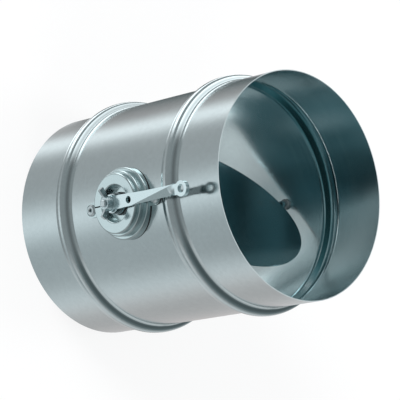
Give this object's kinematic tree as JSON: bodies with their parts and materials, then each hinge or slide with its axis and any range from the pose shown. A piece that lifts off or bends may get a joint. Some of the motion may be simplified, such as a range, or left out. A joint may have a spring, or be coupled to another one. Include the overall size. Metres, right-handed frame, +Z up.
{
  "type": "round air damper",
  "caption": "Round duct damper: a beaded spigot casing with a disc blade on a cross shaft, turned by a hand lever that a wing nut clamps on a stand-off dish.",
  "frame": {"origin": "centre of the lower rim, where the lower spigot ends", "axes": "+Z up the duct's axis, towards the upper spigot; the shaft runs along Y and the dish and lever are on the -Y side"},
  "size_m": [0.169, 0.1879, 0.2],
  "materials": {
    "galvanised_sheet": "smooth zinc-coated sheet, satin",
    "zinc_plated_dish": "drawn, zinc-plated, satin",
    "black_rubber": "matte",
    "rivet_steel": "plated, satin",
    "nylon": "natural nylon",
    "dark_fibre": "pressed fibre, matte",
    "blade_sheet": "zinc-coated sheet, satin",
    "shaft_steel": "turned and plated",
    "spring_steel": "oiled spring steel",
    "lever_steel": "stamped, zinc-plated",
    "dark_cast_steel": "dark cast finish"
  },
  "bodies": {
    "casing": {"duct_body": "galvanised_sheet", "operating_dish": "zinc_plated_dish", "dish_gasket": "black_rubber", "dish_rivets": "rivet_steel", "outer_bush": "nylon", "wall_bush": "nylon", "pivot_bush": "nylon", "friction_disc": "dark_fibre"},
    "damper": {"blade": "blade_sheet", "drive_shaft": "shaft_steel", "pivot_shaft": "shaft_steel", "drive_blade_rivets": "rivet_steel", "pivot_blade_rivets": "rivet_steel", "drive_clip": "spring_steel", "pivot_clip": "spring_steel", "thrust_washer": "shaft_steel", "disc_spring": "spring_steel", "spacer_collar": "shaft_steel", "pivot_washer": "shaft_steel", "lever": "lever_steel", "clamp_washer": "shaft_steel"},
    "wing_nut": {"wing_nut": "dark_cast_steel"}
  },
  "joints": [
    {"name": "damper_turn", "type": "hinge", "parent": "casing", "child": "damper", "pos_m": [0, 0, 0.11], "axis": [0, -1, 0], "range_deg": [-45, 45]},
    {"name": "nut_turn", "type": "hinge", "parent": "damper", "child": "wing_nut", "pos_m": [0, 0, 0.11], "axis": [0, -1, 0], "range_deg": [0, 720]}
  ]
}
